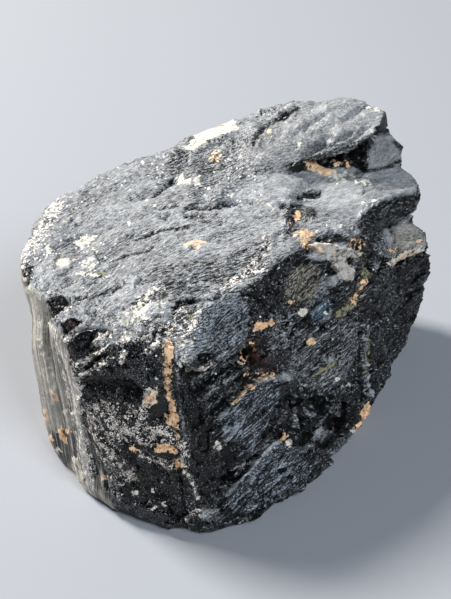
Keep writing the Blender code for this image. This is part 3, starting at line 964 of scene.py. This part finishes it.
# Right front
# To the right the face is finely granular, crossed by slanting clefts, and ends in a pale rim. An
# olive tinge shows on one smooth spot, and a painted blue reflection of the sky on another.
SMOOTH_UPPER = "286,300 284,286 290,272 302,262 318,262 328,276 332,296 322,302 306,306"
facet(SMOOTH_UPPER, 0.0, (0.0, 0.0, 0.1), 0.5, 8.0)
shade(SMOOTH_UPPER, 0.17, 8)
patch("calm", SMOOTH_UPPER, 0.5, 8)
OLIVE_TINGE = "286,300 288,276 300,262 316,264 322,276 314,296 300,306"
patch("khaki", OLIVE_TINGE, 1.0, 10)
BLUE_SPOT = "311,318 313,305 322,296 332,300 332,311 325,321 316,324"
facet(BLUE_SPOT, 0.15, (0.0, 0.0, 0.15), 0.2, 3.0)
shade(BLUE_SPOT, 0.15)
# A painted blue reflection of the sky on this smooth, glassy spot.
patch("blue", BLUE_SPOT, 1.0, 4)
patch("calm", BLUE_SPOT, 1.0, 4)
patch("gloss", BLUE_SPOT, 0.7, 4)
CREAM_GRAIN = "298,311 301,309 307,310 308,314 303,316 299,314"
patch("cream", CREAM_GRAIN, 0.75, 2.0)
patch("olive", CREAM_GRAIN, 0.5, 2.0)
RIGHT_CREAM_SPOTS = "325.5,312 333,340 350.5,386 336,379"
spots("cream", RIGHT_CREAM_SPOTS, 3.4, 0.85)
RIGHT_CLAY_FLECK = "289,301 294,301 293,306 289,305"
patch("clay", RIGHT_CLAY_FLECK, 0.5)
RIGHT_CLAY_LUMP = "307,341 313,338.5 316,343 312,347.5 308,346"
patch("clay", RIGHT_CLAY_LUMP, 0.8, 2.0)
SLANTING_LEDGES = (
    ("311.5,333 317,328.5 324,324", 0.3),
    ("337,318 343,313.5 350,309 355,304", 0.45),
    ("316,376.5 322,369 330,366 339,363", 0.4),
    ("329,333 338,324 346,318", 0.3),
)
for line, height in SLANTING_LEDGES:
    crack(line, -height, 2.8)
    ledge(drawn(line) + (-1, 1.5), height, 8)
CLEFT_OLIVE = "317,375 323,368.5 331,365.5 339,363"
streak("olive", CLEFT_OLIVE, 4.0, 0.9)
WIDE_CLEFT = "311,371 318,364 328,356 341,352"
crack(WIDE_CLEFT, 0.75, 4.0)
SHORT_CLEFT = "339,363.5 344,361.5 350,359.5"
crack(SHORT_CLEFT, 0.5, 3.0)
BENT_CLEFT = "318,325 326,331 322,342 308,352 296,362"
crack(BENT_CLEFT, 0.3, 3.0)
GRANULAR = "296,330 320,336 344,318 358,316 358,350 346,384 326,392 300,386 286,370"
shade(GRANULAR, 0.16, 10)
roughen(GRANULAR, 0.6, 10)
RIM = "368,322 366,334 364.5,348 364,360 366,372 368,384 369,396"
crack(drawn(RIM) - (4, 0), 0.5, 4.0)
crack(RIM, -0.22, 2.0)
PALE_RIM = "366,322 370,322 368,348 367.5,360 370,372 372.5,396 368,396 365.5,372 363,360 363,348"
shade(PALE_RIM, 0.22, 2.0)
PALE_RIM_EDGE = "372,398 371,384 368,360 368.5,348 370.5,322"
ledge(PALE_RIM_EDGE, 0.2, 5)
PALE_RIM_OLIVE = "370,340 369,356 367,372"
streak("olive", PALE_RIM_OLIVE, 4.0, 0.5)
RIM_CLAY = "364,404 366,401 369,404 369.5,413 365,418 361,419 360,411"
patch("clay", RIM_CLAY, 1.0, 2.0)
RIM_CLAY_STREAK = "366,414 361,422 355,428"
streak("clay", RIM_CLAY_STREAK, 4.0, 0.8)
RIM_CREAM_STREAK = "362,421 356,427.5 350,431"
streak("cream", RIM_CREAM_STREAK, 4.2, 0.8)


# Scoop
# A deep scoop in the lower right, painted dark as shade: its left wall is smooth and painted black as
# shade, a hole goes in at its right end, and its lower rim stands up as a broken lip.
# The scoop's left wall is painted near black as shade.
DARK_WALL = "285.5,392 292,395 299,400.5 301,414 305,421 298,430 291,442 286,436 289,414 283.5,398"
facet(DARK_WALL, 0.6, (0.35, 0.1, -0.2), 0.15, 3.0)
shade(DARK_WALL, 0.012, 3)
# The scoop is painted dark as shade.
SCOOP = (
    "290,395 308,399.5 320,397 333,401 350,404 358,408 356,420 348,431 342,442 333,448 318,449 300,449 "
    "292,442 300,424 297,404")
shade(SCOOP, 0.02, 4)
patch("calm", SCOOP, 0.8, 6)
SCOOP_BULGE = "304,404 314,404 324,418 330,440 322,450 308,446 303,428"
swell(SCOOP_BULGE, 0.4, 8)
SCOOP_FLOOR = "305,406 314,404 322,416 328,436 320,446 310,442 305,426"
shade(SCOOP_FLOOR, 0.07, 7)
SCOOP_EDGE = "290,395 308,399.5 320,397 333,401.5 350,404"
ledge(SCOOP_EDGE, 0.9, 18, 2.4)
# The hole is painted black as shade.
SCOOP_HOLE = "333,420 338,417 345,420 346,430 341,438 335,432"
facet(SCOOP_HOLE, 1.6, (0.0, 0.0, -0.2), 0.2, 3.0)
shade(SCOOP_HOLE, 0.008, 3)
HOLE_RUST = "334,422 343,420 344,432 338,434"
patch("rust", HOLE_RUST, 0.4)

# The grooves round the wedge of clay are evened out first.
ROUND_WEDGE = "272,445 278,434 290,428 297,430 296,442 286,446"
near, share = inside(ROUND_WEDGE, 3.0)
rise[near] *= 1.0 - share
WEDGE = "274,443 279,438 286,432 292,430 293,438 287,439 281,442"
facet(WEDGE, -0.2, (0.0, 0.0, 0.1))
patch("clay", WEDGE, 1.0, 2.0)
CRUMBS = ((334, 410, 5.0), (340, 413.5, 4.5), (306, 413, 3.5))
for x, y, width in CRUMBS:
    crack([(x - 2, y), (x + 2, y + 0.5)], -0.6, width)
    shade([(x - width, y), (x, y - width), (x + width, y), (x, y + width)], 0.16, 3)
LIP_EDGES = (
    "299,450.5 306,448 313,446",
    "327,454 333,449.5 342.5,443 348,434 354,431 361,424 368,416",
    "325,465.5 334.5,460 351,448.5 361,435",
    "311,437 317,433 321,430",
)
for line in LIP_EDGES:
    crack(line, -0.5, 3.2)
    ledge(drawn(line) + (0.5, 2.5), 0.4, 8)
# The lip is painted lighter and even as a painted highlight.
SCOOP_LIP = (
    "299,447 305,444.5 312,445 313,450 306,453.5 300,452",
    "326,450 333,447.5 334,455 328,459",
    "331,446 340,437 348,431 356,424 362,417 365,420 358,428 350,435 342,443 334,450",
)
for outline in SCOOP_LIP:
    shade(outline, 0.15, 2.5)
    patch("calm", outline, 1.0)
WALL_FIBRES = (
    "318,442 328,434 334,430",
    "314,428 322,420 328,412",
    "309,442 316,438 324,434",
)
for line in WALL_FIBRES:
    crack(line, -0.2, 1.8)


# Fine relief
# Each kind of face has its own broken surface: splinters on the top, ribs on the grown faces, lumps on
# the left front, and slivers on the rest. Flat chips make up the side that the photograph doesn't show.
def chips(places, field):
    """Heights of a field of flat chips, each tilted its own way, one chip to a unit of place."""
    heights = []
    for x, y, z in (places + np.array((field, 2.3 * field, 5.1 * field))).tolist():
        spot = Vector((x, y, z))
        centre = noise.voronoi(spot)[1][0]
        tilt = noise.cell_vector(centre * 7.31)
        heights.append((spot - centre).dot(tilt) + 0.6 * noise.cell(centre * 3.17))
    return np.array(heights)


def waves(places, field):
    """Heights of soft uneven waves, one wave to a unit of place."""
    return np.array([noise.noise(Vector(spot)) for spot in (places + field).tolist()])


def scaled(places, along, across):
    """Places with units of so many millimetres along the grain and across it."""
    return places / np.array((along, across, across))


def layered(places, layers):
    """The sum of layers of chips. A layer is its height, the size of its chips along and across the
    grain, and its field."""
    return sum(high * chips(scaled(places, along, across), field) for high, along, across, field in layers)


PRESENT = 0.02
FROST_AND_SHADE_PER_MM = 2.6
SHATTER_HEIGHT = 0.45
SHATTER_SIZE = 0.52
CLEAVED_SIZE = np.array((5.0, 4.0, 3.0))
SMOOTH_OUTLINE = "388,114 398,132 406,148 408,166 424,180 423,200 414,216"
SPLINTERS = ((0.19, 4.8, 1.8, 3.0), (0.07, 1.6, 0.7, 11.0), (0.05, 0.9, 0.42, 6.0))
LUMPS = ((0.30, 2.0, 1.7, 4.0), (0.18, 0.9, 0.8, 9.0), (0.10, 0.5, 0.45, 15.0))
DENTS = ((0.50, 3.2, 3.2, 33.0), (0.20, 1.2, 1.2, 35.0))
SLIVERS = ((0.34, 4.2, 1.5, 7.0), (0.22, 1.8, 0.7, 1.0), (0.08, 0.9, 0.5, 3.0))
fine = np.zeros(count)
on_top = top > PRESENT
places = top_grain[on_top]
fine[on_top] += top[on_top] * (layered(places, SPLINTERS) + 0.16 * waves(scaled(places, 9.0, 1.2), 14.0))
on_grown = grown > PRESENT
places = upright_grain[on_grown]
ribs = (
    0.30 * waves(scaled(places, 60.0, 1.6), 2.0)
    - 0.16 * np.abs(waves(scaled(places, 40.0, 0.8), 8.0))
    + 0.03 * chips(scaled(places, 6.0, 0.45), 5.0)
)
fine[on_grown] += (grown * (1.6 - 0.6 * seen))[on_grown] * ribs
lumpy = broken * (1.0 - slanted)
on_lumpy = lumpy > PRESENT
fine[on_lumpy] += lumpy[on_lumpy] * layered(lump_places[on_lumpy], LUMPS)
slivered = broken * slanted
on_slivered = slivered > PRESENT
places = slant_grain[on_slivered]
grooves = 0.14 * np.abs(waves(scaled(places, 14.0, 0.6), 27.0))
fine[on_slivered] += slivered[on_slivered] * (layered(places, SLIVERS) - grooves)
shattered = np.flatnonzero(marks["shattered"] > PRESENT)
shatter = chips(body[shattered] / SHATTER_SIZE, 19.0)
fine[shattered] += SHATTER_HEIGHT * marks["shattered"][shattered] * shatter
relief_share *= fade(line_gap(SMOOTH_OUTLINE), -6.0, 16.0)

# The side that the photograph doesn't show, with clay and crust in its grooves.
hidden = 1.0 - seen
broken_behind = hidden * broken
behind = np.flatnonzero(broken_behind > PRESENT)
cleaved = chips(body[behind] / CLEAVED_SIZE, 17.0)
fine[behind] += broken_behind[behind] * (0.6 * cleaved + 0.2 * chips(body[behind] / 1.7, 37.0))
tone[behind] += broken_behind[behind] * (0.03 + 0.10 * fade(cleaved, -0.1, 0.5))
marks["calm"] = np.maximum(marks["calm"], 0.4 * broken_behind)
marks["gloss"] = np.maximum(marks["gloss"], 0.3 * broken_behind)
flat = np.flatnonzero(under > PRESENT)
dents = np.maximum(layered(body[flat], DENTS), 0.0)
tone[flat] += under[flat] * 0.10 * dents
marks["crust"] = np.maximum(marks["crust"], 0.36 * hidden * fade(waves(body / 3.5, 31.0), 0.44, 0.66))
in_grooves = fade(waves(scaled(lump_places, 4.5, 1.6), 47.0), 0.50, 0.66)
marks["clay"] = np.maximum(marks["clay"], 0.7 * hidden * in_grooves)

# Crusts stand a little proud in grains. Relief that stands out is frosted and painted lighter as a
# highlight, and hollows in it are painted darker as shade.
coat_points = (marks["crust"] + marks["clay"] + marks["cream"] > 0.05) & (marks["film"] < 0.5)
grains = chips(body[coat_points] / 0.75, 13.0)
coats = np.maximum(marks["clay"], marks["cream"])[coat_points]
rise[coat_points] += marks["crust"][coat_points] * 0.16 * grains + coats * (0.08 + 0.04 * grains)
frost_and_relief_shade = FROST_AND_SHADE_PER_MM * (1.0 - 0.6 * top - 0.4 * slivered) * fine * relief_share
tone *= np.clip(1.0 + frost_and_relief_shade, 0.25, 2.2) * (1.0 + 0.18 * waves(body / 5.0, 21.0))
tone = np.maximum(tone, 0.0) * (1.0 - 0.22 * broken)

# Nothing moves at the level of the flat foot, apart from the dents in it.
foot = fade(body[:, 2], 0.05, 1.2)
shape += facing * ((fine * relief_share + rise) * foot)[:, None]
shape[flat, 2] += (under * (1.0 - foot))[flat] * dents
shape[:, 2] = np.maximum(shape[:, 2], 0.0)


# Finish
# Near-black glassy crystal, dulled to grey where it broke in countless tiny steps. Rusty clay, cream
# crusts and whitish grains lie on it in thin films, ragged at their edges.
TRIANGLES_WANTED = 194000
HIDDEN_THINNING = 0.65
THINNING_STEP = 0.1
SHARP_ABOVE = 38.0

body_mesh.vertices.foreach_set("co", (shape * MM).ravel())
values = dict(marks, tone=tone, top=top, grown=grown, slanted=slivered, lumpy=lumpy)
for name, numbers in values.items():
    attribute = body_mesh.attributes.new(name, "FLOAT", "POINT")
    attribute.data.foreach_set("value", numbers.astype(np.float32))
grain_places = {"top_grain": top_grain, "upright_grain": upright_grain, "slant_grain": slant_grain}
for name, places in grain_places.items():
    attribute = body_mesh.attributes.new(name, "FLOAT_VECTOR", "POINT")
    attribute.data.foreach_set("vector", places.astype(np.float32).ravel())
body_mesh.update()

# The hidden side is thinned out more than the side that the photograph shows.
thinning = stone.vertex_groups.new(name="thinning")
for level in range(1, 11):
    share = THINNING_STEP * level
    members = np.flatnonzero(np.abs((1.0 - HIDDEN_THINNING * seen) - share) <= 0.5 * THINNING_STEP)
    thinning.add(members.tolist(), share, "REPLACE")
thin = stone.modifiers.new("thin", "DECIMATE")
thin.ratio = TRIANGLES_WANTED / (2.0 * count)
thin.vertex_group = "thinning"
body_mesh = bpy.data.meshes.new_from_object(stone.evaluated_get(bpy.context.evaluated_depsgraph_get()))
stone.modifiers.clear()
stone.vertex_groups.clear()
stone.data = body_mesh
body_mesh.name = "rough_tourmaline"
body_mesh.shade_smooth()
body_mesh.set_sharp_from_angle(angle=math.radians(SHARP_ABOVE))

FIBRE_SIZE = 0.14
RUBBLE_SIZE = 0.15
CLUMP_SIZE = 0.55
CLUSTER_SIZE = 1.5
GLINTS_PER_METRE = 3000.0
FACETS_PER_METRE = 3200.0
FACET_DEPTH = 0.16
FIBRE_DEPTH = 0.10
CRUMB_DEPTH = 0.05
COAT_ROUGHNESS = 0.8

material = bpy.data.materials.new("black_tourmaline")
material.use_nodes = True
nodes = material.node_tree.nodes
links = material.node_tree.links
shader = nodes["Principled BSDF"]
shader.inputs["IOR"].default_value = 1.63
shader.inputs["Specular IOR Level"].default_value = 0.25
object_place = nodes.new("ShaderNodeTexCoord").outputs["Object"]


def step(kind, output, inputs, **settings):
    """Adds a node, gives its inputs their numbers, colours or sockets, and returns one of its outputs."""
    made = nodes.new("ShaderNode" + kind)
    for name, value in settings.items():
        setattr(made, name, value)
    for name, value in inputs.items():
        if isinstance(value, bpy.types.NodeSocket):
            links.new(value, made.inputs[name])
        else:
            made.inputs[name].default_value = value
    return made.outputs[output]


def stored(name, output="Fac"):
    """What each point of the stone keeps under a name."""
    return step("Attribute", output, {}, attribute_name=name)


def computed(operation, *terms):
    """A sum, product or the like of sockets and numbers."""
    return step("Math", "Value", dict(enumerate(terms)), operation=operation)


def ranged(value, low, high, out_low, out_high):
    """Maps a value from one range to another."""
    ends = {"From Min": low, "From Max": high, "To Min": out_low, "To Max": out_high}
    return step("MapRange", "Result", {"Value": value, **ends})


def even_noise(size, detail):
    """Noise without a direction, one blot to so many millimetres."""
    return step("TexNoise", "Fac", {"Vector": object_place, "Scale": 1.0 / (size * MM), "Detail": detail})


def grain_noise(across, detail):
    """Noise that is stretched along each face's own grain, one blot to so many millimetres."""
    total = computed("MULTIPLY", even_noise(across, detail), stored("lumpy"))
    for grain, share, along in (
        ("top_grain", "top", 6.0 * across),
        ("upright_grain", "grown", 80.0 * across),
        ("slant_grain", "slanted", 14.0 * across),
    ):
        scale = (1.0 / along, 1.0 / across, 1.0 / across)
        place = step("Mapping", "Vector", {"Vector": stored(grain, "Vector"), "Scale": scale})
        pattern = step("TexNoise", "Fac", {"Vector": place, "Scale": 1.0, "Detail": detail})
        total = computed("MULTIPLY_ADD", pattern, stored(share), total)
    return total


def bumped(height, depth, before=None):
    """Low relief of so many millimetres between height 0 and 1."""
    inputs = {"Height": height, "Distance": depth * MM, "Strength": 1.0}
    if before:
        inputs["Normal"] = before
    return step("Bump", "Normal", inputs)


def mixed(share, first, second):
    """A colour between two, each a socket or a plain colour."""
    blend = nodes.new("ShaderNodeMix")
    blend.data_type = "RGBA"
    sockets = [socket for socket in blend.inputs if socket.type == "RGBA"]
    for socket, colour in zip(sockets, (first, second)):
        if isinstance(colour, tuple):
            socket.default_value = colour + (1.0,)
        else:
            links.new(colour, socket)
    links.new(share, blend.inputs["Factor"])
    return [socket for socket in blend.outputs if socket.type == "RGBA"][0]


def cells(per_metre):
    """A pattern of cells on the stone, so many to a metre, and the place that it reads."""
    scale = (per_metre, per_metre, per_metre)
    place = step("Mapping", "Vector", {"Vector": object_place, "Scale": scale})
    return step("TexVoronoi", "Position", {"Vector": place, "Scale": 1.0}).node.outputs, place


def splintered(per_metre, share, depth):
    """Bumps of flat facets, each tilted its own way and depth millimetres high."""
    pattern, place = cells(per_metre)
    offset = step("VectorMath", "Vector", {0: place, 1: pattern["Position"]}, operation="SUBTRACT")
    tilt = step("VectorMath", "Vector", {0: pattern["Color"], 1: (0.5, 0.5, 0.5)}, operation="SUBTRACT")
    height = step("VectorMath", "Value", {0: offset, 1: tilt}, operation="DOT_PRODUCT")
    return bumped(computed("MULTIPLY", height, share), depth)


fibres = grain_noise(FIBRE_SIZE, 2.0)
clumps = even_noise(CLUMP_SIZE, 3.0)
rubble = even_noise(RUBBLE_SIZE, 2.0)
rubble_share = computed("MULTIPLY_ADD", stored("grown"), -0.3, 0.4)
rubble_part = computed("MULTIPLY", rubble_share, computed("SUBTRACT", rubble, fibres))
splinter_noise = computed("ADD", fibres, rubble_part)
grit = ranged(splinter_noise, 0.41, 0.59, -1.0, 1.0)
grit.node.clamp = False

tone_part = computed("POWER", computed("DIVIDE", stored("tone"), 0.32), 0.45)
amount = computed("MULTIPLY_ADD", tone_part, 2.5, -1.5)
contrast = computed("MULTIPLY_ADD", stored("grown"), -0.1, ranged(stored("tone"), 0.0, 0.24, 1.05, 0.38))
contrast = computed("MULTIPLY", contrast, ranged(stored("calm"), 0.0, 1.0, 1.0, 0.5))
frost = computed("MULTIPLY_ADD", grit, contrast, amount)
shading = ranged(frost, 0.0, 1.6, 0.003, 0.58)
# The blue mark tints the grey bluish as a painted reflection of the sky; khaki and the grown faces tint it
# warm.
warm = computed("MULTIPLY_ADD", stored("khaki"), 1.6, stored("grown"))
red_share = computed("MULTIPLY_ADD", warm, 0.07, computed("MULTIPLY_ADD", stored("blue"), -0.32, 0.985))
blue_share = computed("MULTIPLY_ADD", warm, -0.14, computed("MULTIPLY_ADD", stored("blue"), 0.30, 1.01))
red = computed("MULTIPLY", shading, red_share)
blue = computed("MULTIPLY", shading, blue_share)
surface = step("CombineColor", "Color", {"Red": red, "Green": shading, "Blue": blue})
edges = computed("MULTIPLY_ADD", grit, 0.38, ranged(clumps, 0.37, 0.63, -0.9, 0.9))
clusters = computed("ADD", edges, ranged(even_noise(CLUSTER_SIZE, 2.0), 0.38, 0.62, -0.5, 0.5))
clusters = computed("MULTIPLY_ADD", ranged(rubble, 0.36, 0.64, -1.0, 1.0), 0.55, clusters)
speckles = ranged(splinter_noise, 0.40, 0.56, 0.0, 1.0)
blotches = ranged(computed("ADD", splinter_noise, clumps), 0.84, 1.10, 0.0, 1.0)


def film(name, colour, darker, edge, pattern=edges, variation=blotches):
    """Lays a mark's colour over the surface. Clumps break up its edge: soft at edge 0, speckled at 1. Gives
    how much of it shows, and the new surface."""
    share = ranged(computed("MULTIPLY_ADD", pattern, edge, stored(name)), 0.34, 0.66, 0.0, 1.0)
    share = computed("MULTIPLY", share, ranged(stored(name), 0.0, 0.1, 0.0, 1.0))
    return share, mixed(share, surface, mixed(variation, darker, colour))


surface = film("rust", (0.07, 0.030, 0.022), (0.018, 0.009, 0.008), 0.6)[1]
soft_olive, surface = film("olive", (0.30, 0.275, 0.16), (0.05, 0.045, 0.026), 0.8)
surface = film("film", (0.56, 0.50, 0.43), (0.33, 0.30, 0.26), 0.15)[1]
pale_crust, surface = film("crust", (0.95, 0.86, 0.77), (0.07, 0.063, 0.057), 0.66, clusters, speckles)
soft_cream, surface = film("cream", (0.78, 0.73, 0.62), (0.44, 0.40, 0.33), 0.45)
# Painted glints: a few tiny cells, more where the sparkle mark is, turn near-white in the colour.
glints = cells(GLINTS_PER_METRE)[0]
chance = step("SeparateColor", "Red", {"Color": glints["Color"]})
lucky = computed("LESS_THAN", chance, computed("MULTIPLY_ADD", stored("sparkle"), 0.3, 0.002))
glint = computed("MULTIPLY", lucky, ranged(glints["Distance"], 0.25, 0.4, 1.0, 0.0))
surface = mixed(glint, surface, (0.85, 0.87, 0.88))
soft_clay, surface = film("clay", (0.97, 0.66, 0.40), (0.60, 0.30, 0.13), 0.5)
links.new(surface, shader.inputs["Base Color"])

clay_or_cream = computed("MAXIMUM", soft_clay, soft_cream)
coated = computed("MAXIMUM", clay_or_cream, computed("MAXIMUM", pale_crust, soft_olive))
bare_rough = computed("MULTIPLY_ADD", stored("gloss"), -0.14, 0.22)
bare_rough = computed("MULTIPLY_ADD", tone_part, 0.24, bare_rough)
rough = step("Mix", "Result", {"Factor": coated, "A": bare_rough, "B": COAT_ROUGHNESS})
links.new(rough, shader.inputs["Roughness"])

roughness_share = computed("MULTIPLY_ADD", stored("top"), -0.3, ranged(stored("gloss"), 0.0, 1.0, 1.0, 0.2))
roughness_share = computed("MULTIPLY", roughness_share, ranged(stored("calm"), 0.0, 1.0, 1.0, 0.5))
facet_bump = splintered(FACETS_PER_METRE, roughness_share, FACET_DEPTH)
fibre_bump = bumped(computed("MULTIPLY", fibres, roughness_share), FIBRE_DEPTH, facet_bump)
crumb_bump = bumped(computed("MULTIPLY", rubble, roughness_share), CRUMB_DEPTH, fibre_bump)
links.new(crumb_bump, shader.inputs["Normal"])
body_mesh.materials.clear()
body_mesh.materials.append(material)
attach(stone, "root")
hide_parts("tourmaline")


# Floor
# A plain pale grey surface under the stone, wide enough to fill the picture behind it. It shows the
# stone's shadow, and isn't part of the stone.
FLOOR_HALF_WIDTH = 1.5

floor_bm = bmesh.new()
bmesh.ops.create_grid(floor_bm, x_segments=1, y_segments=1, size=FLOOR_HALF_WIDTH)
floor_mesh = bpy.data.meshes.new("floor")
floor_bm.to_mesh(floor_mesh)
floor_bm.free()
floor = bpy.data.objects.new("floor", floor_mesh)
bpy.context.scene.collection.objects.link(floor)
floor_material = bpy.data.materials.new("pale_floor")
floor_material.use_nodes = True
floor_shader = floor_material.node_tree.nodes["Principled BSDF"]
floor_shader.inputs["Base Color"].default_value = (0.32, 0.33, 0.35, 1.0)
floor_shader.inputs["Roughness"].default_value = 0.9
floor_mesh.materials.append(floor_material)


# Light
# A soft key from high at the back left, on the side of the photograph's sun, a weak cool fill from the
# front right and a weak pale surrounding.
for name, way, distance, size, watts, colour in (
    ("key", Vector((-0.60, 0.34, 0.72)), 0.55, 0.14, 5.6, (1.0, 0.975, 0.945)),
    ("fill", Vector((0.36, -0.60, 0.72)), 0.60, 0.20, 2.7, (0.82, 0.90, 1.0)),
):
    light_data = bpy.data.lights.new(name, "AREA")
    light_data.size = size
    light_data.energy = watts
    light_data.color = colour
    light = bpy.data.objects.new(name, light_data)
    light.location = way.normalized() * distance
    light.rotation_euler = way.to_track_quat("Z", "Y").to_euler()
    bpy.context.scene.collection.objects.link(light)
world = bpy.data.worlds.new("soft_room")
world.use_nodes = True
world.node_tree.nodes["Background"].inputs["Color"].default_value = (0.80, 0.88, 1.0, 1.0)
world.node_tree.nodes["Background"].inputs["Strength"].default_value = 0.12
bpy.context.scene.world = world
bpy.context.scene.view_settings.view_transform = "Standard"
